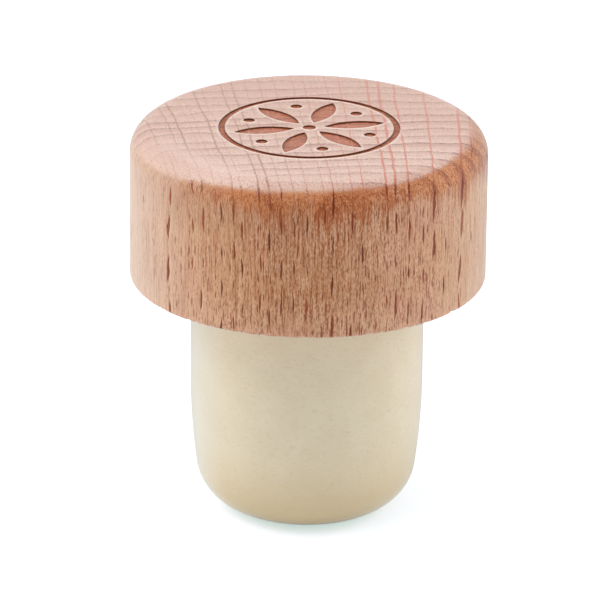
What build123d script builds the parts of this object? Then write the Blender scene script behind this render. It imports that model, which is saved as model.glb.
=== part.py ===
"""A bar-top bottle stopper: a turned beech head glued onto a moulded plug.

The stopper stands on the plug's flat end. The origin is the centre of that end, and +Z runs up
the axis through the plug and the head. All sizes are millimetres.
"""

import os
from math import asin, degrees, sqrt

from build123d import *

# Turned beech head
head_diameter = 30.0
head_height = 13.0
top_edge_radius = 2.1
lower_edge_chamfer = 0.25

# Plug: the part below the head, which goes into the bottle's neck
plug_diameter = 19.7
plug_reach = 20.6
straight_length = 9.1
side_sweep_radius = 60.0
foot_corner_radius = 4.2

# Glued joint: the plug's upper end stands in a blind bore in the head
joint_depth = 6.0
glue_gap = 0.1
glued_end_step = 0.25
glued_end_chamfer = 0.6
bore_mouth_chamfer = 0.5

# Rosette engraved in the head's top
engraving_depth = 0.15
rosette_diameter = 15.2
ring_width = 0.55
petal_count = 6
petal_inner_radius = 1.25
petal_ring_gap = 0.6
petal_width = 1.75
petal_tip_radius = 0.12
bead_diameter = 1.0
bead_ring_gap = 1.25
centre_bead_diameter = 1.1
rosette_turn = 12.0

head_radius = head_diameter / 2
plug_radius = plug_diameter / 2
glued_radius = plug_radius - glued_end_step
bore_radius = glued_radius + glue_gap
mouth_radius = bore_radius + bore_mouth_chamfer

underside = plug_reach
straight_bottom = underside - straight_length
bore_floor = underside + joint_depth
head_top = underside + head_height

# Plug: one soft moulded piece. Below the straight stretch its side sweeps in on one large arc,
# and a smaller arc, tangent to it and to the flat foot, rounds the foot's edge.
sweep_centre = (plug_radius - side_sweep_radius, straight_bottom)
centre_spacing = side_sweep_radius - foot_corner_radius
centre_drop = straight_bottom - foot_corner_radius
foot_radius = sweep_centre[0] + sqrt(centre_spacing**2 - centre_drop**2)
sweep_angle = degrees(asin(centre_drop / centre_spacing))

with BuildPart() as stopper_plug:
    with BuildSketch(Plane.XZ):
        with BuildLine():
            foot_line = Line((0, 0), (foot_radius, 0))
            foot_corner = CenterArc(
                (foot_radius, foot_corner_radius),
                foot_corner_radius,
                start_angle=-90,
                arc_size=90 - sweep_angle,
            )
            side_sweep = CenterArc(
                sweep_centre,
                side_sweep_radius,
                start_angle=-sweep_angle,
                arc_size=sweep_angle,
            )
            Polyline(
                side_sweep @ 1,
                (plug_radius, underside),
                (glued_radius, underside),
                (glued_radius, bore_floor - glued_end_chamfer),
                (glued_radius - glued_end_chamfer, bore_floor),
                (0, bore_floor),
                foot_line @ 0,
            )
        make_face()
    revolve(axis=Axis.Z)

# One engraved petal, a lens between two arcs, lying along the radius
petal_outer_radius = rosette_diameter / 2 - ring_width - petal_ring_gap
petal_length = petal_outer_radius - petal_inner_radius
petal_arc_radius = (petal_length**2 + petal_width**2) / (4 * petal_width)
petal_arc_offset = petal_arc_radius - petal_width / 2

with BuildSketch() as petal:
    with Locations((0, petal_arc_offset)):
        Circle(petal_arc_radius)
    with Locations((0, -petal_arc_offset)):
        Circle(petal_arc_radius, mode=Mode.INTERSECT)
    fillet(petal.vertices(), radius=petal_tip_radius)

# Head: turned from one block of beech, bored from below and engraved on top
with BuildPart() as wood_head:
    with BuildSketch(Plane.XZ):
        with BuildLine():
            bored_side = Polyline(
                (0, bore_floor),
                (bore_radius, bore_floor),
                (bore_radius, underside + bore_mouth_chamfer),
                (mouth_radius, underside),
                (head_radius - lower_edge_chamfer, underside),
                (head_radius, underside + lower_edge_chamfer),
                (head_radius, head_top - top_edge_radius),
            )
            top_edge = RadiusArc(
                bored_side @ 1,
                (head_radius - top_edge_radius, head_top),
                -top_edge_radius,
            )
            Polyline(top_edge @ 1, (0, head_top), bored_side @ 0)
        make_face()
    revolve(axis=Axis.Z)

    bead_circle_radius = rosette_diameter / 2 - ring_width - bead_ring_gap - bead_diameter / 2
    petal_middle = (petal_inner_radius + petal_outer_radius) / 2
    bead_turn = rosette_turn + 180 / petal_count
    with BuildSketch(Plane.XY.offset(head_top)):
        Circle(rosette_diameter / 2)
        Circle(rosette_diameter / 2 - ring_width, mode=Mode.SUBTRACT)
        Circle(centre_bead_diameter / 2)
        with PolarLocations(petal_middle, petal_count, start_angle=rosette_turn):
            add(petal.sketch)
        with PolarLocations(bead_circle_radius, petal_count, start_angle=bead_turn):
            Circle(bead_diameter / 2)
    extrude(amount=-engraving_depth, mode=Mode.SUBTRACT)

os.makedirs("parts", exist_ok=True)
for name, piece in {"wood_head": wood_head, "stopper_plug": stopper_plug}.items():
    piece.part.label = name
    export_step(piece.part, f"parts/{name}.step")
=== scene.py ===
"""Looks of a bar-top bottle stopper: a turned beech head with an engraved rosette, on a cream plug.

Lengths are written in millimetres and turned into metres as the meshes and objects are made.
The beech is one solid pattern, laid out round the tree's pith: growth rings, rays and fibres are
the same in the colour, the bump and the relief cut into the mesh, so they run on from the top
over the rounded edge and down the side.
"""

import math
import random
from collections import namedtuple
from types import SimpleNamespace

import bpy
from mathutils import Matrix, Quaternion, Vector
from mathutils.geometry import delaunay_2d_cdt

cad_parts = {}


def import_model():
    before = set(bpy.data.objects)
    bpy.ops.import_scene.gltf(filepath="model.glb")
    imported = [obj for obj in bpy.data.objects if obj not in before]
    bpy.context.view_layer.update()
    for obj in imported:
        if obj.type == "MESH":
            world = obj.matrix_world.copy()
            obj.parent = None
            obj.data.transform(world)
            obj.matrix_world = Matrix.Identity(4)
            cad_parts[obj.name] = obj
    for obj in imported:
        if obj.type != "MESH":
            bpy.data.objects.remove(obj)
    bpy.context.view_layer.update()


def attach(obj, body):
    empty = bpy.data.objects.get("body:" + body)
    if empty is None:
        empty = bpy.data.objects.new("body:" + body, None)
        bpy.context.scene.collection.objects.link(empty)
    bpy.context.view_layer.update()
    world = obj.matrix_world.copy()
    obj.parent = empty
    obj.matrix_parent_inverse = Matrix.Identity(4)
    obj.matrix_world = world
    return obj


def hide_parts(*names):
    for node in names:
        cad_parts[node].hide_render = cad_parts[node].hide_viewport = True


MM = 0.001

# One family of rays: how far apart its columns and its rows are, half the size of its largest ray,
# the share of places that hold a ray, and the seed of its random values
Rays = namedtuple("Rays", "step_across step_up half_width half_height share seed")

# Camera, matched to the photograph's outline of the stopper
CAMERA_TARGET = (-0.62, 0.0, 18.09)
CAMERA_DISTANCE = 450.0
CAMERA_ELEVATION = 21.65
CAMERA_ROLL = 0.61
CAMERA_LENS = 319.4

# Studio
LAMP_TARGET = (0.0, 0.0, 20.0)
WORLD_LIGHT = 0.52
FLOOR_RADIUS = 900.0
FLOOR_CORNERS = 64
FLOOR_GLOW = 0.57

# Head
HEAD_RADIUS = 15.0
HEAD_BOTTOM = 20.6
HEAD_TOP = 33.6
TOP_EDGE_RADIUS = 2.1
LOWER_EDGE_RADIUS = 0.28
BORE_RADIUS = 9.7
BORE_FLOOR = 26.6
BORE_MOUTH = 0.5
HEAD_COLUMNS = 1200
LOWER_EDGE_ROWS = 5
SIDE_ROWS = 42
EDGE_ROWS = 14

# Plug
PLUG_RADIUS = 9.85
PLUG_STRAIGHT_BOTTOM = 11.5
PLUG_SWEEP_RADIUS = 60.0
PLUG_CORNER_RADIUS = 4.2
PLUG_GLUED_RADIUS = 9.6
PLUG_END_CHAMFER = 0.6
PLUG_COLUMNS = 240
PLUG_FOOT_ROWS = 6
PLUG_CORNER_ROWS = 26
PLUG_SWEEP_ROWS = 22
PLUG_STRAIGHT_ROWS = 30

# Engraved rosette. A petal is a lens between two arcs.
CUT_DEPTH = 0.15
CUT_WALL = 0.05
# How far the painted highlight, a pale rim round the engraved lines, reaches outside them
PAINTED_HIGHLIGHT_REACH = 0.32
RING_RADIUS = 7.6
RING_WIDTH = 0.55
PETAL_COUNT = 6
PETAL_START = 1.25
PETAL_END = 6.45
PETAL_WIDTH = 1.75
BEAD_RADIUS = 0.5
BEAD_CIRCLE = 5.3
CENTRE_BEAD_RADIUS = 0.55
ROSETTE_TURN = 12.0
PETAL_STEP = 2 * math.pi / PETAL_COUNT
PETAL_MIDDLE = (PETAL_START + PETAL_END) / 2
PETAL_LENGTH = PETAL_END - PETAL_START
PETAL_ARC = (PETAL_LENGTH**2 + PETAL_WIDTH**2) / (4 * PETAL_WIDTH)
PETAL_ARC_OFFSET = PETAL_ARC - PETAL_WIDTH / 2

# Points round the rosette's outlines
RING_OUTER_POINTS = 240
RING_INNER_POINTS = 220
CENTRE_BEAD_POINTS = 28
BEAD_POINTS = 26
PETAL_STEPS = 44

# Triangles of the head's flat top: rings of points near its rim, each a share of its radius and
# a count, and a grid over the rest
TOP_RADIUS = HEAD_RADIUS - TOP_EDGE_RADIUS
TOP_RINGS = ((0.988, HEAD_COLUMNS // 2), (0.97, HEAD_COLUMNS // 4))
TOP_GRID = 0.34
TOP_GRID_ROW = TOP_GRID * 0.866
TOP_GRID_JITTER = 0.06
TOP_GRID_REACH = 0.955

# Beech: the tree's pith stands in front of the head and a little to the right
PITH_X = 12.9
PITH_Y = -124.0
RING_SPACING = 1.75
FINE_LINE_SPACING = 0.79
BIG_RAYS = Rays(1.15, 3.4, half_width=0.13, half_height=1.7, share=0.84, seed=3.0)
SMALL_RAYS = Rays(0.45, 1.4, half_width=0.072, half_height=0.66, share=0.66, seed=11.0)

# Relief of the beech: pits at the rays, where the surface runs along them and where it cuts
# across them, the height of the fibres, and the chips of the lower edge
BIG_PIT_ALONG = 0.01
BIG_PIT_ACROSS = 0.045
SMALL_PIT = 0.012
FIBRE_HEIGHT = 0.025
CHIP_HEIGHT = 0.16


def srgb(red, green, blue):
    """A colour written as 0 to 255 values, as the linear colour with alpha that sockets take."""
    def linear(value):
        share = value / 255
        return share / 12.92 if share <= 0.04045 else ((share + 0.055) / 1.055) ** 2.4

    return (linear(red), linear(green), linear(blue), 1.0)


class Nodes:
    """Shorthand for building a node tree, of a shader or of geometry nodes."""

    def __init__(self, tree):
        self.tree = tree

    def add(self, kind, inputs=(), **settings):
        node = self.tree.nodes.new(kind)
        for key, value in settings.items():
            setattr(node, key, value)
        for place, value in dict(inputs).items():
            self.feed(node.inputs[place], value)
        return node

    def feed(self, socket, value):
        if isinstance(value, bpy.types.NodeSocket):
            self.tree.links.new(value, socket)
        else:
            socket.default_value = value

    def math(self, operation, *values, clamp=False):
        inputs = dict(enumerate(values))
        return self.add("ShaderNodeMath", inputs, operation=operation, use_clamp=clamp).outputs[0]

    def chain(self, operation, values):
        result, *others = values
        for value in others:
            result = self.math(operation, result, value)
        return result

    def sum(self, *values):
        return self.chain("ADD", values)

    def times(self, *values):
        return self.chain("MULTIPLY", values)

    def minus(self, first, second):
        return self.math("SUBTRACT", first, second)

    def invert(self, value):
        return self.minus(1.0, value)

    def sway(self, noise):
        """How far a noise is above or below its middle value."""
        return self.minus(noise, 0.5)

    def distance(self, x, y):
        return self.math("SQRT", self.sum(self.times(x, x), self.times(y, y)))

    def smooth(self, value, low, high):
        """0 below low, 1 above high, and a soft step between them."""
        ends = {"Value": value, "From Min": low, "From Max": high}
        return self.add("ShaderNodeMapRange", ends, interpolation_type="SMOOTHSTEP").outputs[0]

    def fall(self, value, low, high):
        """1 below low, 0 above high, and a soft step between them."""
        return self.invert(self.smooth(value, low, high))

    def band(self, value, rise, fall):
        """1 between two soft steps, the one that rises to it and the one that falls from it."""
        return self.times(self.smooth(value, *rise), self.fall(value, *fall))

    def span(self, value, low, high):
        """A value from 0 to 1, as one from low to high."""
        return self.math("MULTIPLY_ADD", value, high - low, low)

    def vector(self, x, y, z):
        return self.add("ShaderNodeCombineXYZ", {0: x, 1: y, 2: z}).outputs[0]

    def split(self, vector):
        return self.add("ShaderNodeSeparateXYZ", {0: vector}).outputs

    def scale(self, vector, factor):
        inputs = {0: vector, "Scale": factor}
        return self.add("ShaderNodeVectorMath", inputs, operation="SCALE").outputs[0]

    def stretch(self, vector, factors):
        """A vector with each of its lengths multiplied by a factor of its own."""
        inputs = {0: vector, 1: factors}
        return self.add("ShaderNodeVectorMath", inputs, operation="MULTIPLY").outputs[0]

    def noise(self, place, scale=1.0, detail=2.0, roughness=0.5):
        inputs = {"Vector": place, "Scale": scale, "Detail": detail, "Roughness": roughness}
        return self.add("ShaderNodeTexNoise", inputs, noise_dimensions="3D").outputs[0]

    def chance(self, first, second=0.0):
        """Four random values from 0 to 1, the same for the same pair of whole numbers."""
        place = self.vector(first, second, 0.0)
        node = self.add("ShaderNodeTexWhiteNoise", {"Vector": place}, noise_dimensions="2D")
        return [node.outputs["Value"], *self.split(node.outputs["Color"])]

    def attribute(self, name):
        return self.add("ShaderNodeAttribute", attribute_name=name).outputs["Fac"]

    def mix(self, factor, first, second):
        node = self.add("ShaderNodeMix", data_type="RGBA")
        self.feed(node.inputs[0], factor)
        self.feed(node.inputs[6], first)
        self.feed(node.inputs[7], second)
        return node.outputs[2]

    def layers(self, colour, *coats):
        """A colour under coats of others, each a strength and a colour, the last on top."""
        for strength, coat in coats:
            colour = self.mix(strength, colour, coat)
        return colour

    def bump(self, height, strength, distance):
        inputs = {"Strength": strength, "Distance": distance * MM, "Height": height}
        return self.add("ShaderNodeBump", inputs).outputs[0]


def fresh_nodes(owner):
    """An empty node tree for a material or a world."""
    owner.use_nodes = True
    owner.node_tree.nodes.clear()
    return Nodes(owner.node_tree)


def ray_layer(n, across, up, rays):
    """One family of rays: upright spindles, stacked in columns at random places across.

    Returns how far a place is inside a spindle, 0 to 1, the spindle's random shade, and how far it
    is inside the thin line that the column draws on a face across the grain.
    """
    u = n.math("MULTIPLY_ADD", across, 1 / rays.step_across, rays.seed)
    column = n.math("FLOOR", u)
    column_aside, column_rise, crowded = n.chance(column, rays.seed)[1:]
    v = n.sum(n.times(up, 1 / rays.step_up), n.times(column_rise, 5.0), rays.seed)
    row = n.math("FLOOR", v)
    pick, size, shade, jitter = n.chance(column, n.sum(row, rays.seed))

    column_middle = n.sum(column, n.span(column_aside, 0.18, 0.82))
    middle = n.sum(column_middle, n.span(shade, -0.05, 0.05))
    rise = n.times(n.minus(v, n.sum(row, n.span(jitter, 0.4, 0.6))), rays.step_up)
    lean = n.times(n.sway(size), rise, 0.1)
    aside = n.math("ABSOLUTE", n.minus(n.times(n.minus(u, middle), rays.step_across), lean))
    tall = n.times(n.span(size, 0.3, 1.0), rays.half_height)
    wide = n.times(n.span(size, 0.45, 1.2), rays.half_width)
    rise_share = n.math("DIVIDE", rise, tall)
    body = n.times(n.invert(n.times(rise_share, rise_share)), wide)
    inside = n.smooth(n.minus(body, aside), rays.half_width * -0.1, rays.half_width * 0.45)
    kept = n.math("LESS_THAN", pick, n.times(n.span(crowded, 0.55, 1.45), rays.share))

    line_aside = n.math("ABSOLUTE", n.times(n.minus(u, column_middle), rays.step_across))
    line_width = n.times(n.span(crowded, -0.15, 0.8), rays.half_width)
    line_edge = rays.half_width * 0.4
    line = n.smooth(n.minus(line_width, line_aside), -line_edge, line_edge)
    return n.times(inside, kept), shade, line


def beech_fields(n, place):
    """The beech's pattern at a place in millimetres, as named sockets.

    big_rays, small_rays: 0 to 1 inside a ray; big_shade, small_shade: each ray's random shade
    ray_lines: 0 to 1 in the lines that the big rays draw across end grain
    late: 0 to 1 at the dark line that ends each growth ring; fine_late: fainter lines between
    ring_shade: the slow darkening of each growth ring towards that line
    fibre, dash, streak: upright fibres, fine, shorter and broad, around 0.5
    grit, pores: short specks and small open pores, around 0.5
    patch, tone, breaks: slow changes of stain and colour, and gaps in the lines, around 0.5
    """
    x, y, z = n.split(place)
    from_pith_x = n.minus(x, PITH_X)
    from_pith_y = n.minus(y, PITH_Y)
    out = n.minus(n.distance(from_pith_x, from_pith_y), -PITH_Y)
    across = n.times(n.math("ARCTAN2", from_pith_x, from_pith_y), -PITH_Y)
    polar = n.vector(across, out, z)

    wander = n.sway(n.noise(n.stretch(polar, (0.5, 1.0, 0.6)), 0.16))
    jag = n.sway(n.noise(n.stretch(polar, (1.0, 1.0, 0.8)), 1.3))
    wavy_across = n.sum(across, n.times(wander, 0.55), n.times(jag, 0.22))
    big_rays, big_shade, ray_lines = ray_layer(n, wavy_across, z, BIG_RAYS)
    small_rays, small_shade = ray_layer(n, wavy_across, z, SMALL_RAYS)[:2]

    ring_wander = n.sway(n.noise(n.stretch(polar, (1.0, 2.2, 0.5)), 0.1))
    ring_jag = n.sway(n.noise(n.stretch(polar, (1.0, 1.0, 0.4)), 1.1))
    ring_place = n.sum(out, n.times(ring_wander, 2.8), n.times(ring_jag, 0.2))
    ring = n.times(ring_place, 1 / RING_SPACING)
    phase = n.math("FRACT", ring)
    line_chance, shade_chance = n.chance(n.math("FLOOR", ring))[:2]
    late = n.band(phase, (0.76, 0.95), (0.965, 1.0))
    ring_shade = n.band(phase, (0.15, 0.9), (0.93, 1.0))
    fine_phase = n.math("FRACT", n.times(ring_place, 1 / FINE_LINE_SPACING))
    fine_late = n.band(fine_phase, (0.7, 0.93), (0.94, 1.0))
    broken = n.smooth(n.noise(n.stretch(polar, (0.4, 2.0, 0.0)), 0.7), 0.42, 0.62)

    grain = n.vector(n.sum(across, n.times(wander, 0.55), n.times(jag, 0.08)), out, z)
    return SimpleNamespace(
        big_rays=big_rays,
        big_shade=big_shade,
        ray_lines=ray_lines,
        small_rays=small_rays,
        small_shade=small_shade,
        late=n.times(late, n.span(line_chance, 0.45, 1.0)),
        ring_shade=n.times(ring_shade, n.span(shade_chance, 0.35, 1.5)),
        fine_late=n.times(fine_late, broken),
        fibre=n.noise(n.stretch(grain, (7.9, 7.9, 0.38)), detail=1.0),
        dash=n.noise(n.stretch(grain, (5.6, 5.6, 0.8)), detail=1.0),
        streak=n.noise(n.stretch(grain, (1.3, 1.3, 0.14))),
        grit=n.noise(n.stretch(place, (9.6, 9.6, 3.2)), detail=1.0),
        pores=n.noise(n.stretch(place, (6.5, 6.5, 1.2)), roughness=0.7),
        patch=n.noise(n.stretch(place, (1.0, 1.0, 0.6)), 0.32),
        tone=n.noise(place, 0.11),
        breaks=n.noise(n.stretch(place, (2.4, 2.4, 0.0)), detail=1.0),
    )


def flat_sawn_share(n, facing_front):
    """0 where the head's surface runs along the rays, 1 where it cuts across them."""
    return n.smooth(facing_front, 0.15, 0.7)


def beech_surface(n):
    """The beech's fields at the shaded point, and what its colours share, as named sockets.

    x, y, z: the place; upward, facing_front: 0 to 1, by the way that the surface faces
    squarely: 0 to 1, the same as facing_front, but only near the straight front and back
    front_middle, right_front, right: 0 to 1 in parts of the width; calm_left: less at the left
    rim, sharp_rim: where the pale top's border lies, and how sharp it is, soft at the left, where
    the pale top runs down the rounded edge as a painted highlight; end_grain: 0 to 1 on it
    soaking: 0 to 1 where the finish has soaked into the rounded top edge, and 0 at the left, where
    that painted highlight shows instead
    hue, fuzzy: which base colour shows, and how strong the fibres and specks of the side are
    dark_fibre, light_fibre, dark_grit, light_grit: 0 to 1 in the fibres and specks
    """
    place = n.scale(n.add("ShaderNodeTexCoord").outputs["Object"], 1 / MM)
    w = beech_fields(n, place)
    w.x, w.y, w.z = n.split(place)
    normal = n.split(n.add("ShaderNodeNewGeometry").outputs["Normal"])
    w.facing_front = n.math("ABSOLUTE", normal[1])
    w.upward = n.math("ABSOLUTE", normal[2])
    w.grit_sway = n.sway(w.grit)
    w.patch_sway = n.sway(w.patch)
    fibre_sway = n.sway(w.fibre)

    left_front = n.band(w.x, (-9.0, -6.0), (-3.5, -0.5))
    w.front_middle = n.band(w.x, (-6.0, -1.0), (1.5, 5.5))
    w.right_front = n.band(w.x, (4.0, 6.0), (8.5, 10.5))
    w.right = n.smooth(w.x, -6.0, 5.0)
    w.calm_left = n.span(n.smooth(w.x, -9.5, -4.0), 0.75, 1.0)

    # The pale top's border is sharp at the right and soft at the left, where it is a painted
    # highlight
    w.sharp_rim = n.smooth(w.x, 1.0, 8.0)
    w.rim = n.sum(
        w.upward,
        n.times(w.grit_sway, 0.25),
        n.times(fibre_sway, 0.2),
        # Painted highlight: at the left the pale top runs further down the rounded edge
        n.times(n.fall(w.x, -13.0, -5.0), 0.3),
        n.times(left_front, 0.07),
        n.times(w.right_front, 0.06),
        n.times(n.smooth(w.x, 10.0, 13.0), -0.06),
    )
    over_rim = n.smooth(w.rim, n.span(w.sharp_rim, 0.72, 0.81), n.span(w.sharp_rim, 0.92, 0.91))
    w.end_grain = n.math("MAXIMUM", over_rim, n.smooth(w.upward, 0.992, 0.999))

    soaked_height = n.sum(
        w.z,
        n.times(fibre_sway, 2.2),
        n.times(n.sway(w.streak), 3.0),
        n.times(w.patch_sway, 4.5),
        n.times(n.band(w.x, (-8.5, -5.5), (2.0, 6.0)), 0.7),
        n.times(left_front, 0.5),
        n.times(n.smooth(w.x, 8.0, 12.0), 0.8),
    )
    near_top = n.smooth(soaked_height, HEAD_TOP - 2.6, HEAD_TOP - 0.8)
    # Soaked at the top of the side, but not at the left, where the rounded edge stays pale as a
    # painted highlight
    w.soaking = n.times(near_top, n.smooth(w.x, -12.5, -4.5))

    w.hue = n.smooth(w.tone, 0.38, 0.62)
    w.squarely = n.smooth(w.facing_front, 0.45, 1.0)
    busy = n.span(n.smooth(w.patch, 0.42, 0.56), 0.72, 1.08)
    w.fuzzy = n.times(n.span(w.squarely, 0.5, 1.0), w.calm_left, busy)
    w.dark_fibre = n.times(n.smooth(w.fibre, 0.53, 0.62), n.smooth(w.dash, 0.4, 0.54))
    w.light_fibre = n.smooth(n.invert(w.fibre), 0.52, 0.62)
    w.dark_grit = n.smooth(w.grit, 0.52, 0.66)
    w.light_grit = n.smooth(n.invert(w.grit), 0.52, 0.66)
    return w


def side_colour(n, w):
    """The side: upright fibres in tan and pinkish brown, with darker rays, and painted sheen that
    pales the flanks.
    """
    middle_right = n.band(w.x, (2.0, 5.0), (8.0, 11.0))
    low_down = n.fall(w.z, HEAD_BOTTOM, HEAD_BOTTOM + 4.2)
    high_up = n.smooth(w.z, HEAD_TOP - 8.0, HEAD_TOP - 4.0)
    warm = n.times(high_up, n.band(w.x, (-3.0, 0.0), (4.0, 7.5)))
    # Painted sheen: the flanks, which face neither front nor back, are paled as grazing light would
    # pale them
    pale = n.mix(w.right, srgb(220, 205, 184), srgb(221, 185, 154))
    ragged_height = n.sum(w.z, n.times(w.grit_sway, 1.2))
    lower_edge = n.fall(ragged_height, HEAD_BOTTOM + 0.1, HEAD_BOTTOM + 0.7)
    cut_across = n.smooth(w.facing_front, 0.3, 0.9)
    small_colour = n.mix(w.small_shade, srgb(118, 46, 8), srgb(176, 86, 48))
    narrowed = n.times(n.fall(w.x, -9.5, -5.0), 0.65)
    big_rays = n.smooth(w.big_rays, narrowed, 1.0)
    big_strength = n.span(flat_sawn_share(n, w.facing_front), 0.12, 0.9)
    big_colour = n.mix(w.big_shade, srgb(96, 28, 0), srgb(168, 72, 34))
    return n.layers(
        n.mix(w.hue, srgb(214, 158, 118), srgb(214, 152, 124)),
        (n.times(n.smooth(w.streak, 0.46, 0.62), 0.6), srgb(194, 128, 88)),
        (n.times(w.front_middle, 0.5), srgb(190, 122, 80)),
        (n.times(middle_right, 0.16), srgb(236, 186, 150)),
        (n.times(low_down, 0.26), srgb(238, 200, 172)),
        (n.times(warm, 0.2), srgb(168, 88, 36)),
        # painted sheen on the flanks
        (n.times(n.invert(w.squarely), 0.45), pale),
        (n.times(w.dark_fibre, w.fuzzy, 0.86), srgb(140, 72, 40)),
        (n.times(w.light_fibre, w.fuzzy, 0.56), srgb(236, 188, 154)),
        (n.times(w.dark_grit, w.fuzzy, 0.55), srgb(154, 88, 54)),
        (n.times(w.light_grit, w.fuzzy, 0.5), srgb(236, 192, 158)),
        (n.times(lower_edge, 0.55), srgb(232, 178, 150)),
        (n.times(w.late, 0.2), srgb(172, 104, 70)),
        (n.times(w.small_rays, cut_across, w.calm_left, 0.9), small_colour),
        (n.times(big_rays, big_strength), big_colour),
    )


def soaked_colour(n, w):
    """The rounded top edge, where the open grain takes the finish darker, with a pale fringe of
    painted highlight below the soft left part of the top's border.
    """
    to_right = n.smooth(w.x, 6.0, 11.0)
    far_right = n.smooth(w.x, 11.0, 14.0)
    off_middle = n.smooth(n.math("ABSOLUTE", w.x), 5.0, 9.0)
    blotched = n.times(n.smooth(w.patch, 0.46, 0.56), n.span(w.sharp_rim, 0.7, 0.45))
    # Painted highlight: a pale fringe below the soft left part of the top's border
    painted_highlight_fringe = n.times(n.smooth(w.rim, 0.66, 0.84), n.invert(w.sharp_rim))
    flare = n.sum(w.ring_shade, n.times(w.grit_sway, 0.9), n.times(w.patch_sway, 1.2))
    flared = n.times(to_right, n.smooth(flare, 0.42, 0.75))
    ring_lines = n.times(w.late, off_middle, n.span(w.dark_grit, 0.3, 0.9))
    return n.layers(
        n.mix(w.hue, srgb(207, 128, 80), srgb(213, 137, 91)),
        (blotched, srgb(168, 84, 40)),
        (n.times(w.right_front, 0.4), srgb(168, 84, 40)),
        (n.times(painted_highlight_fringe, 0.3), srgb(234, 190, 158)),
        (n.times(to_right, 0.6), srgb(208, 140, 94)),
        (n.times(far_right, 0.65), srgb(184, 106, 52)),
        (n.times(flared, 0.7), srgb(150, 68, 30)),
        (n.times(w.dark_fibre, 0.7), srgb(136, 62, 28)),
        (n.times(w.light_fibre, 0.3), srgb(230, 160, 112)),
        (n.times(w.dark_grit, 0.3), srgb(146, 72, 36)),
        (n.times(w.light_grit, 0.35), srgb(240, 182, 138)),
        (ring_lines, srgb(128, 44, 16)),
        (n.times(w.big_rays, 0.95), srgb(112, 34, 14)),
        (n.times(w.ray_lines, 0.45), srgb(150, 62, 34)),
        (n.times(w.small_rays, 0.4), srgb(140, 58, 30)),
    )


def top_colour(n, w):
    """The top: pale end grain crossed by rays and ring lines, which fade towards the front rim, and
    painted shade that darkens it towards the back.
    """
    from_axis = n.distance(w.x, w.y)
    # Painted shade: the top darkens towards the back, as if less lit there
    painted_shade_back = n.smooth(w.y, -13.0, 11.0)
    front_left = n.times(n.fall(w.x, -8.0, -4.0), n.fall(w.y, -6.0, -1.0))
    plain = n.span(n.times(n.smooth(from_axis, 10.0, 12.6), front_left), 1.0, 0.15)
    front = n.times(n.fall(w.x, -5.0, 9.0), n.fall(w.y, -9.0, -6.0))
    worn = n.span(n.times(n.smooth(from_axis, 10.8, 12.8), front), 1.0, 0.25)
    pitted = n.times(n.smooth(w.pores, 0.46, 0.62), n.span(plain, 0.35, 0.62))
    dotted = n.times(
        n.span(n.smooth(w.pores, 0.44, 0.56), 0.3, 1.0),
        n.span(n.smooth(w.breaks, 0.4, 0.54), 0.45, 1.0),
    )
    clear = n.times(n.span(w.right, 0.92, 1.0), n.span(n.smooth(w.y, -4.0, 12.0), 1.0, 0.65), plain)
    ray_colour = n.mix(w.right, srgb(164, 114, 96), srgb(206, 100, 78))
    return n.layers(
        n.mix(w.hue, srgb(240, 208, 194), srgb(230, 196, 181)),
        # painted shade towards the back
        (n.times(painted_shade_back, 0.85), srgb(212, 170, 154)),
        (n.times(w.ring_shade, plain, worn, 0.62), srgb(198, 148, 134)),
        (pitted, srgb(194, 148, 132)),
        (n.times(w.light_grit, 0.35), srgb(242, 212, 198)),
        (n.times(w.fine_late, dotted, clear, worn, 0.7), srgb(164, 104, 82)),
        (n.times(w.late, dotted, clear, worn), srgb(98, 36, 18)),
        (n.times(w.small_rays, 0.3), srgb(200, 142, 128)),
        (n.times(w.ray_lines, n.span(dotted, 0.55, 1.0), clear), ray_colour),
    )


def engraved_colour(n, w):
    """The floor of the engraving: scorched end grain."""
    return n.layers(
        n.mix(n.smooth(w.fibre, 0.4, 0.66), srgb(190, 104, 64), srgb(140, 62, 32)),
        (n.times(n.smooth(w.tone, 0.44, 0.56), 0.6), srgb(182, 94, 62)),
        (n.times(n.smooth(w.patch, 0.5, 0.58), 0.5), srgb(150, 84, 34)),
        (n.times(n.smooth(w.breaks, 0.48, 0.6), 0.5), srgb(206, 120, 92)),
        (n.times(w.late, 0.7), srgb(118, 50, 30)),
        (n.times(w.ray_lines, 0.6), srgb(212, 134, 102)),
    )


def new_material(name):
    material = bpy.data.materials.new(name)
    n = fresh_nodes(material)
    shader = n.add("ShaderNodeBsdfPrincipled")
    n.add("ShaderNodeOutputMaterial", {"Surface": shader.outputs[0]})
    return material, n, shader


def set_sheen(shader, weight, roughness, tint):
    shader.inputs["Sheen Weight"].default_value = weight
    shader.inputs["Sheen Roughness"].default_value = roughness
    shader.inputs["Sheen Tint"].default_value = tint


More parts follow.
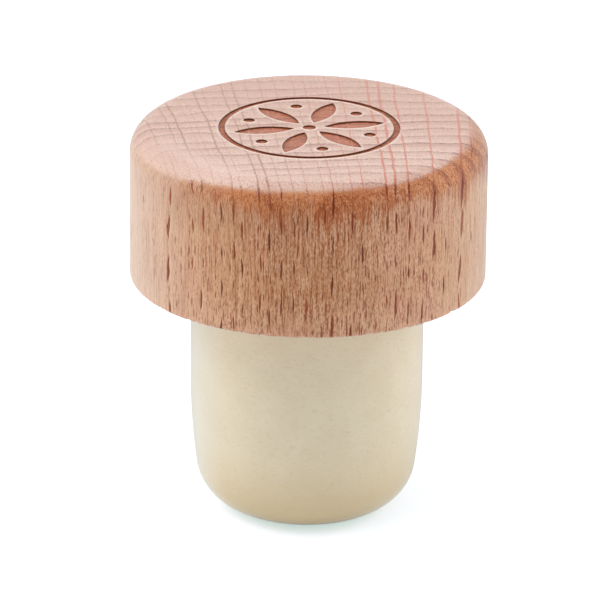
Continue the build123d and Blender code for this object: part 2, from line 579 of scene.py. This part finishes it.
def beech_material():
    material, n, shader = new_material("beech")
    w = beech_surface(n)
    # A darker band on the side just below the rounded top edge, from the left to the middle: partly
    # the wood's tone, partly painted shade
    tone_and_shade_under_edge = n.times(
        n.smooth(w.z, HEAD_TOP - 5.8, HEAD_TOP - 2.6),
        n.band(w.x, (-15.0, -10.0), (-1.5, 2.5)),
        n.fall(w.upward, 0.35, 0.8),
    )
    rim_line = n.times(w.end_grain, n.invert(w.end_grain), n.smooth(w.x, 2.0, 7.0))
    cut = n.attribute("cut")
    in_cut = n.smooth(cut, 0.05, 0.2)
    charred_wall = n.times(in_cut, n.fall(cut, 0.8, 0.99))
    colour = n.layers(
        side_colour(n, w),
        (n.times(w.soaking, n.invert(w.end_grain)), soaked_colour(n, w)),
        # darker band under the edge, partly tone, partly painted shade
        (n.times(tone_and_shade_under_edge, 0.18), srgb(148, 86, 52)),
        (w.end_grain, top_colour(n, w)),
        (n.times(rim_line, 2.2), srgb(168, 80, 42)),
        # Painted highlight: a pale rim round the engraved lines, strongest on their near, -y side
        (n.times(n.attribute("painted_highlight"), 0.85), srgb(252, 234, 220)),
        (in_cut, engraved_colour(n, w)),
        (n.times(charred_wall, 0.92), srgb(62, 30, 20)),
    )
    n.feed(shader.inputs["Base Color"], colour)

    roughness = n.sum(
        n.span(n.smooth(w.fibre, 0.3, 0.7), 0.46, 0.6),
        n.times(w.big_rays, 0.12),
        n.times(in_cut, 0.25),
    )
    n.feed(shader.inputs["Roughness"], roughness)
    shader.inputs["Specular IOR Level"].default_value = 0.16
    set_sheen(shader, 0.8, 0.4, (1.0, 0.97, 0.9, 1.0))

    pits = n.sum(n.times(w.big_rays, 0.5), n.times(w.small_rays, 0.25))
    side_height = n.minus(n.times(w.fibre, 0.8), pits)
    end_height = n.minus(n.times(w.pores, 0.35), n.times(w.late, 0.25))
    heights = {0: w.end_grain, 2: side_height, 3: end_height}
    height = n.add("ShaderNodeMix", heights, data_type="FLOAT").outputs[0]
    n.feed(shader.inputs["Normal"], n.bump(height, 0.5, 0.06))
    return material


def plug_material():
    """Smooth moulded foam: faint clouds and specks, a warmer tint towards the foot, painted shade
    along the foot's lowest band, and painted sheen down the left side.
    """
    material, n, shader = new_material("cream_plug")
    place = n.scale(n.add("ShaderNodeTexCoord").outputs["Object"], 1 / MM)
    axes = n.split(place)
    x, z = axes["X"], axes["Z"]
    cloud = n.noise(place, 0.35, 3.0)
    speck = n.noise(n.stretch(place, (2.2, 2.2, 5.5)), 1.0, 3.0, 0.6)
    grain = n.noise(place, 9.0, 2.0, 0.6)
    colour = n.layers(
        n.mix(n.smooth(cloud, 0.35, 0.65), srgb(237, 223, 195), srgb(234, 219, 190)),
        (n.times(n.smooth(speck, 0.54, 0.72), 0.4), srgb(218, 198, 160)),
        (n.times(n.smooth(n.invert(speck), 0.56, 0.74), 0.4), srgb(246, 234, 208)),
        (n.times(n.fall(z, 0.0, 9.0), 0.85), srgb(217, 192, 146)),
        # Painted shade: darker just above the floor, where the foot stands
        (n.times(n.fall(z, 0.0, 2.4), 0.5), srgb(204, 172, 126)),
        # Painted sheen: paler and cooler down the left side
        (n.times(n.fall(x, -9.6, -6.5), 0.6), srgb(226, 222, 206)),
    )
    n.feed(shader.inputs["Base Color"], colour)
    n.feed(shader.inputs["Roughness"], n.span(n.smooth(speck, 0.3, 0.7), 0.5, 0.62))
    set_sheen(shader, 1.0, 0.35, (0.93, 0.98, 1.0, 1.0))
    height = n.sum(n.times(grain, 0.5), n.times(speck, 0.8))
    n.feed(shader.inputs["Normal"], n.bump(height, 0.35, 0.04))
    return material


def seen_rays(n):
    """1 for what is seen directly, in a reflection or through glass, 0 for light on the object."""
    rays = n.add("ShaderNodeLightPath").outputs
    seen = n.sum(rays["Is Camera Ray"], rays["Is Glossy Ray"])
    return n.math("ADD", seen, rays["Is Transmission Ray"], clamp=True)


def floor_material():
    """A pale floor. To the camera it also glows a little, so that only the shadow is off white."""
    material = bpy.data.materials.new("pale_floor")
    n = fresh_nodes(material)
    paint = n.add("ShaderNodeBsdfDiffuse", {"Color": srgb(236, 240, 240)})
    seen_paint = n.add("ShaderNodeBsdfDiffuse", {"Color": srgb(232, 216, 239)})
    glow = n.add("ShaderNodeEmission", {"Color": srgb(226, 255, 248), "Strength": FLOOR_GLOW})
    both = n.add("ShaderNodeAddShader", {0: seen_paint.outputs[0], 1: glow.outputs[0]})
    choice = {0: seen_rays(n), 1: paint.outputs[0], 2: both.outputs[0]}
    surface = n.add("ShaderNodeMixShader", choice)
    n.add("ShaderNodeOutputMaterial", {"Surface": surface.outputs[0]})
    return material


def mesh_object(name, points, faces, material, smooth=True):
    mesh = bpy.data.meshes.new(name)
    mesh.from_pydata([Vector(point) * MM for point in points], [], faces)
    mesh.validate()
    mesh.polygons.foreach_set("use_smooth", [smooth] * len(mesh.polygons))
    mesh.materials.append(material)
    thing = bpy.data.objects.new(name, mesh)
    bpy.context.scene.collection.objects.link(thing)
    return thing


def circle(radius, count, centre=(0.0, 0.0)):
    """Points (x, y) evenly spaced round a circle."""
    turn = 2 * math.pi / count
    return [
        (centre[0] + radius * math.cos(i * turn), centre[1] + radius * math.sin(i * turn))
        for i in range(count)
    ]


def band_faces(lower, upper, count):
    """Faces between two rings of points, given by their first numbers, facing outwards."""
    return [
        (lower + i, lower + (i + 1) % count, upper + (i + 1) % count, upper + i)
        for i in range(count)
    ]


def lathe(profile, count):
    """Points and faces of a body of revolution. The profile is (radius, z) pairs, in order from the
    axis outwards and back, and its ends on the axis close into fans."""
    points = []
    starts = []
    for radius, z in profile:
        starts.append(len(points))
        points += [(0.0, 0.0, z)] if radius == 0 else [(x, y, z) for x, y in circle(radius, count)]
    faces = []
    for i in range(len(profile) - 1):
        low, high = starts[i], starts[i + 1]
        if profile[i][0] == 0:
            faces += [(low, high + (k + 1) % count, high + k) for k in range(count)]
        elif profile[i + 1][0] == 0:
            faces += [(low + k, low + (k + 1) % count, high) for k in range(count)]
        else:
            faces += band_faces(low, high, count)
    return points, faces


def mark_sharp_rings(mesh, rings, count):
    """Marks the edges along the given rings of a lathe mesh as sharp. Its first point is ring 0."""
    flags = []
    for edge in mesh.edges:
        first, second = [(vertex - 1) // count + 1 for vertex in edge.vertices]
        flags.append(first == second and first in rings)
    mesh.attributes.new("sharp_edge", "BOOLEAN", "EDGE").data.foreach_set("value", flags)


def arc(centre, radius, start, end, steps):
    """Points (radius, z) along an arc, angles in degrees, both ends included."""
    made = []
    for i in range(steps + 1):
        angle = math.radians(start + (end - start) * i / steps)
        made.append((centre[0] + radius * math.cos(angle), centre[1] + radius * math.sin(angle)))
    return made


def even_line(start, end, steps):
    """Points along a straight line, both ends included."""
    return [
        (start[0] + (end[0] - start[0]) * i / steps, start[1] + (end[1] - start[1]) * i / steps)
        for i in range(steps + 1)
    ]


def in_own_sector(radius, turn):
    """A place as its distance along the middle line of its sector of the rosette, and from it."""
    angle = (turn + PETAL_STEP / 2) % PETAL_STEP - PETAL_STEP / 2
    return radius * math.cos(angle), abs(radius * math.sin(angle))


def depth_inside(x, y):
    """How far a place lies inside the nearest engraved shape, negative outside them all."""
    radius = math.hypot(x, y)
    inside_ring = RING_WIDTH / 2 - abs(radius - (RING_RADIUS - RING_WIDTH / 2))
    inside = max(inside_ring, CENTRE_BEAD_RADIUS - radius)
    if radius > RING_RADIUS:
        return inside
    turn = math.atan2(y, x) - math.radians(ROSETTE_TURN)
    along, aside = in_own_sector(radius, turn)
    inside_petal = PETAL_ARC - math.hypot(along - PETAL_MIDDLE, aside + PETAL_ARC_OFFSET)
    along, aside = in_own_sector(radius, turn - PETAL_STEP / 2)
    inside_bead = BEAD_RADIUS - math.hypot(along - BEAD_CIRCLE, aside)
    return max(inside, inside_petal, inside_bead)


def cut_share(inside):
    """Share of the engraving's depth, from how far inside its outline a place is."""
    t = min(max(inside / CUT_WALL, 0.0), 1.0)
    return t * t * (3 - 2 * t)


def painted_highlight_share(x, y):
    """Strength of the painted highlight, a pale rim round an engraved line, from 0 to 1, most on the
    side facing -y.
    """
    outside = -depth_inside(x, y)
    if not 0.0 < outside < PAINTED_HIGHLIGHT_REACH * 0.98:
        return 0.0
    step = CUT_WALL / 2
    facing = (depth_inside(x, y + step) - depth_inside(x, y - step)) / (2 * step)
    return 0.4 + 0.6 * facing


def petal_outline(grow, angle):
    """A petal's outline, a lens grown by a distance, turned to its angle round the rosette."""
    radius = PETAL_ARC + grow
    half = math.sqrt(radius**2 - PETAL_ARC_OFFSET**2)
    there = []
    for i in range(PETAL_STEPS + 1):
        along = -half * math.cos(math.pi * i / PETAL_STEPS)
        aside = math.sqrt(max(radius**2 - along**2, 0.0)) - PETAL_ARC_OFFSET
        there.append((PETAL_MIDDLE + along, max(aside, 0.0)))
    outline = there + [(along, -aside) for along, aside in reversed(there[1:-1])]
    c, s = math.cos(angle), math.sin(angle)
    return [(x * c - y * s, x * s + y * c) for x, y in outline]


def rosette_outlines():
    """Closed outlines along the foot, the middle and the rim of every engraved wall."""
    outlines = []
    for grow in (-CUT_WALL, -CUT_WALL / 2, 0.0, CUT_WALL, PAINTED_HIGHLIGHT_REACH):
        outlines.append(circle(RING_RADIUS + grow, RING_OUTER_POINTS))
        outlines.append(circle(RING_RADIUS - RING_WIDTH - grow, RING_INNER_POINTS))
        outlines.append(circle(CENTRE_BEAD_RADIUS + grow, CENTRE_BEAD_POINTS))
        for i in range(PETAL_COUNT):
            angle = math.radians(ROSETTE_TURN) + i * PETAL_STEP
            outlines.append(petal_outline(grow, angle))
            bead = angle + PETAL_STEP / 2
            centre = (BEAD_CIRCLE * math.cos(bead), BEAD_CIRCLE * math.sin(bead))
            outlines.append(circle(BEAD_RADIUS + grow, BEAD_POINTS, centre))
    return outlines


def top_plan(rim):
    """Points and edges that the flat top's triangles keep to: its rim, the rosette and a grid."""
    rng = random.Random(7)
    flat = list(rim)
    edges = [(i, (i + 1) % len(rim)) for i in range(len(rim))]
    for share, count in TOP_RINGS:
        flat += circle(TOP_RADIUS * share, count)
    for outline in rosette_outlines():
        first = len(flat)
        flat += outline
        edges += [(first + i, first + (i + 1) % len(outline)) for i in range(len(outline))]
    rows = int(TOP_RADIUS / TOP_GRID_ROW) + 1
    for row in range(-rows, rows + 1):
        for column in range(-rows, rows + 1):
            jitter_x = rng.uniform(-TOP_GRID_JITTER, TOP_GRID_JITTER)
            jitter_y = rng.uniform(-TOP_GRID_JITTER, TOP_GRID_JITTER)
            x = (column + (row % 2) / 2) * TOP_GRID + jitter_x
            y = row * TOP_GRID_ROW + jitter_y
            inside = depth_inside(x, y)
            clear = inside > CUT_WALL * 1.8 or inside < -PAINTED_HIGHLIGHT_REACH * 1.3
            if clear and math.hypot(x, y) < TOP_RADIUS * TOP_GRID_REACH:
                flat.append((x, y))
    return [Vector(place) for place in flat], edges


def top_face(rim, rim_start):
    """Triangles of the head's flat top, inside a rim of points numbered from rim_start.

    Returns the new points, which are numbered on from the rim, the faces, and the cut share and
    the painted highlight share of every new point.
    """
    flat, edges = top_plan(rim)
    triangulation = delaunay_2d_cdt(flat, edges, [], 1, 1e-6)
    places, triangles, origins = triangulation[0], triangulation[2], triangulation[3]
    numbers = []
    points = []
    shares = []
    painted_highlights = []
    for place, origin in zip(places, origins):
        rim_numbers = [number for number in origin if number < len(rim)]
        if rim_numbers:
            numbers.append(rim_start + rim_numbers[0])
            continue
        share = cut_share(depth_inside(place.x, place.y))
        numbers.append(rim_start + len(rim) + len(points))
        points.append((place.x, place.y, HEAD_TOP - CUT_DEPTH * share))
        shares.append(share)
        painted_highlights.append(painted_highlight_share(place.x, place.y))
    faces = [tuple(numbers[i] for i in triangle) for triangle in triangles]
    return points, faces, shares, painted_highlights


def relief_tree():
    """Geometry nodes that cut the rays as pits, raise the fibres and chip the lower edge."""
    tree = bpy.data.node_groups.new("beech_relief", "GeometryNodeTree")
    tree.interface.new_socket("Geometry", in_out="INPUT", socket_type="NodeSocketGeometry")
    tree.interface.new_socket("Geometry", in_out="OUTPUT", socket_type="NodeSocketGeometry")
    n = Nodes(tree)
    source = n.add("NodeGroupInput")
    drain = n.add("NodeGroupOutput")
    place = n.scale(n.add("GeometryNodeInputPosition").outputs[0], 1 / MM)
    w = beech_fields(n, place)
    x, y, z = n.split(place)
    normal = n.add("GeometryNodeInputNormal").outputs[0]
    flat_sawn = flat_sawn_share(n, n.math("ABSOLUTE", n.split(normal)[1]))
    from_axis = n.distance(x, y)

    outside = n.smooth(from_axis, 11.5, 12.2)
    shown = n.times(outside, n.smooth(z, HEAD_BOTTOM + 0.05, HEAD_BOTTOM + 0.4))
    big_pits = n.times(w.big_rays, n.span(flat_sawn, BIG_PIT_ALONG, BIG_PIT_ACROSS))
    pits = n.sum(big_pits, n.times(w.small_rays, SMALL_PIT))
    lift = n.times(n.minus(w.fibre, 0.85), FIBRE_HEIGHT)
    offset = n.scale(normal, n.times(n.minus(lift, pits), shown, MM))

    chips = n.smooth(n.noise(n.stretch(place, (1.9, 1.9, 0.0)), 1.0, 3.0, 0.7), 0.46, 0.66)
    edge_side = n.smooth(from_axis, 14.3, 14.65)
    near_edge = n.times(edge_side, n.fall(z, HEAD_BOTTOM, HEAD_BOTTOM + 0.4))
    chip_rise = n.vector(0.0, 0.0, n.times(chips, near_edge, CHIP_HEIGHT * MM))
    both = n.add("ShaderNodeVectorMath", {0: offset, 1: chip_rise}, operation="ADD")
    moves = {"Geometry": source.outputs[0], "Offset": both.outputs[0]}
    moved = n.add("GeometryNodeSetPosition", moves)
    n.feed(drain.inputs[0], moved.outputs[0])
    return tree


def bake_modifiers(thing):
    """Replaces the object's mesh with the result of its modifiers."""
    graph = bpy.context.evaluated_depsgraph_get()
    made = bpy.data.meshes.new_from_object(thing.evaluated_get(graph), depsgraph=graph)
    thing.modifiers.clear()
    thing.data = made


def head_profile():
    """The head's section, from the middle of its blind bore's floor round to the top's rim."""
    lower_centre = (HEAD_RADIUS - LOWER_EDGE_RADIUS, HEAD_BOTTOM + LOWER_EDGE_RADIUS)
    upper_centre = (HEAD_RADIUS - TOP_EDGE_RADIUS, HEAD_TOP - TOP_EDGE_RADIUS)
    lower_edge = arc(lower_centre, LOWER_EDGE_RADIUS, -90, 0, LOWER_EDGE_ROWS)
    upper_edge = arc(upper_centre, TOP_EDGE_RADIUS, 0, 90, EDGE_ROWS)
    return [
        (0.0, BORE_FLOOR),
        (BORE_RADIUS, BORE_FLOOR),
        (BORE_RADIUS, HEAD_BOTTOM + BORE_MOUTH),
        (BORE_RADIUS + BORE_MOUTH, HEAD_BOTTOM),
        *lower_edge,
        *even_line(lower_edge[-1], upper_edge[0], SIDE_ROWS)[1:-1],
        *upper_edge,
    ]


def make_head(material):
    points, faces = lathe(head_profile(), HEAD_COLUMNS)
    rim_start = len(points) - HEAD_COLUMNS
    rim = [point[:2] for point in points[rim_start:]]
    top_points, top_faces, shares, painted_highlights = top_face(rim, rim_start)
    head = mesh_object("beech_head", points + top_points, faces + top_faces, material)
    nothing = [0.0] * len(points)
    # Point attributes: the engraving's cut share, and the share of the painted highlight round it
    for name, values in (("cut", shares), ("painted_highlight", painted_highlights)):
        attribute = head.data.attributes.new(name, "FLOAT", "POINT")
        attribute.data.foreach_set("value", nothing + values)
    mark_sharp_rings(head.data, (1, 2, 3), HEAD_COLUMNS)
    head.modifiers.new("relief", "NODES").node_group = relief_tree()
    bake_modifiers(head)
    return head


def make_plug(material):
    """The moulded plug, from the middle of its flat foot up to its glued end."""
    sweep_centre = (PLUG_RADIUS - PLUG_SWEEP_RADIUS, PLUG_STRAIGHT_BOTTOM)
    spacing = PLUG_SWEEP_RADIUS - PLUG_CORNER_RADIUS
    drop = PLUG_STRAIGHT_BOTTOM - PLUG_CORNER_RADIUS
    foot_radius = sweep_centre[0] + math.sqrt(spacing**2 - drop**2)
    sweep_angle = math.degrees(math.asin(drop / spacing))
    corner_centre = (foot_radius, PLUG_CORNER_RADIUS)
    straight_start = (PLUG_RADIUS, PLUG_STRAIGHT_BOTTOM)
    shoulder = (PLUG_RADIUS, HEAD_BOTTOM)
    profile = [
        (0.0, 0.0),
        *even_line((0.0, 0.0), (foot_radius, 0.0), PLUG_FOOT_ROWS)[1:-1],
        *arc(corner_centre, PLUG_CORNER_RADIUS, -90, -sweep_angle, PLUG_CORNER_ROWS),
        *arc(sweep_centre, PLUG_SWEEP_RADIUS, -sweep_angle, 0, PLUG_SWEEP_ROWS)[1:],
        *even_line(straight_start, shoulder, PLUG_STRAIGHT_ROWS)[1:],
    ]
    shoulder_ring = len(profile) - 1
    glued_end = [
        (PLUG_GLUED_RADIUS, HEAD_BOTTOM),
        (PLUG_GLUED_RADIUS, BORE_FLOOR - PLUG_END_CHAMFER),
        (PLUG_GLUED_RADIUS - PLUG_END_CHAMFER, BORE_FLOOR),
        (0.0, BORE_FLOOR),
    ]
    points, faces = lathe(profile + glued_end, PLUG_COLUMNS)
    plug = mesh_object("cream_plug", points, faces, material)
    mark_sharp_rings(plug.data, range(shoulder_ring, shoulder_ring + 4), PLUG_COLUMNS)
    return plug


def make_floor():
    points = [(x, y, 0.0) for x, y in circle(FLOOR_RADIUS, FLOOR_CORNERS)]
    face = tuple(range(FLOOR_CORNERS))
    floor = mesh_object("floor", points, [face], floor_material(), smooth=False)


def aim(thing, place, target):
    thing.location = Vector(place) * MM
    direction = (Vector(target) - Vector(place)).normalized()
    thing.rotation_mode = "QUATERNION"
    thing.rotation_quaternion = direction.to_track_quat("-Z", "Y")


def softbox(name, place, size, power):
    """A rectangular lamp aimed at the stopper. Power is in watts, at this small scale."""
    light = bpy.data.lights.new(name, "AREA")
    light.shape = "RECTANGLE"
    light.size = size[0] * MM
    light.size_y = size[1] * MM
    light.energy = power
    lamp = bpy.data.objects.new(name, light)
    bpy.context.scene.collection.objects.link(lamp)
    aim(lamp, place, LAMP_TARGET)


def make_world():
    """White to the camera and in reflections, a plain grey level as light."""
    world = bpy.data.worlds.new("studio")
    bpy.context.scene.world = world
    n = fresh_nodes(world)
    strength = n.span(seen_rays(n), WORLD_LIGHT, 1.0)
    background = n.add("ShaderNodeBackground", {"Color": (1.0, 1.0, 1.0, 1.0), "Strength": strength})
    n.add("ShaderNodeOutputWorld", {"Surface": background.outputs[0]})


def make_camera():
    data = bpy.data.cameras.new("camera")
    data.sensor_width = 36.0
    data.lens = CAMERA_LENS
    data.clip_start = 10 * MM
    data.clip_end = 5000 * MM
    camera = bpy.data.objects.new("camera", data)
    bpy.context.scene.collection.objects.link(camera)
    rise = math.radians(CAMERA_ELEVATION)
    back = Vector((0.0, -math.cos(rise), math.sin(rise)))
    place = Vector(CAMERA_TARGET) + back * CAMERA_DISTANCE
    aim(camera, place, CAMERA_TARGET)
    roll = Quaternion((0.0, 0.0, 1.0), math.radians(CAMERA_ROLL))
    camera.rotation_quaternion = camera.rotation_quaternion @ roll
    bpy.context.scene.camera = camera


def main():
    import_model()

    make_camera()
    make_world()
    softbox("left_softbox", (-330, 70, 150), (200, 340), 0.55)
    softbox("right_softbox", (330, 70, 140), (180, 340), 0.58)
    softbox("top_softbox", (-140, -70, 350), (300, 300), 0.42)
    make_floor()

    head = make_head(beech_material())
    plug = make_plug(plug_material())
    for piece, node, slot in ((head, "wood_head", "beech"), (plug, "stopper_plug", "plug")):
        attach(piece, "root")
        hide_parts(node)

    bpy.context.scene.view_settings.view_transform = "Standard"


main()
